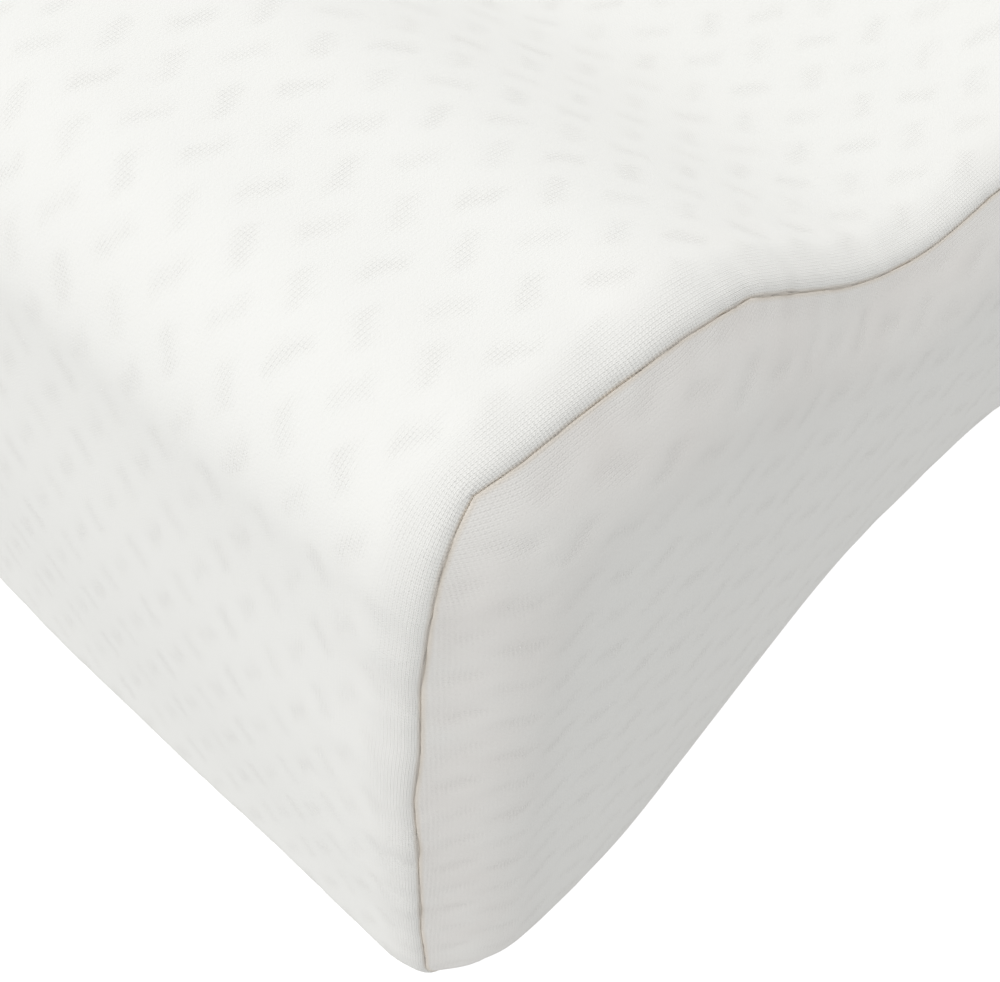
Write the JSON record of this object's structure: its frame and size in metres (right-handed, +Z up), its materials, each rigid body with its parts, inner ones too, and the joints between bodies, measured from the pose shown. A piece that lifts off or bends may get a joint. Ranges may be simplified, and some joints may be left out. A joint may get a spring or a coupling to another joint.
{
  "type": "knee pillow",
  "caption": "Contoured hourglass knee pillow in a white knit cover, its band and end panels sewn at a turned-in seam, held between the knees in bed.",
  "frame": {"origin": "on the surface that the pillow lies on, under the middle of its box", "axes": "+X from lobe to lobe, +Y along the leg from the near end panel to the far one, +Z up"},
  "size_m": [0.25, 0.2, 0.15],
  "materials": {
    "band_knit": "matt white double knit with a raised basket pattern",
    "panel_knit": "the same matt white double knit"
  },
  "bodies": {
    "root": {"filled_band": "band_knit", "end_panel_near": "panel_knit", "end_panel_far": "panel_knit"}
  },
  "joints": []
}
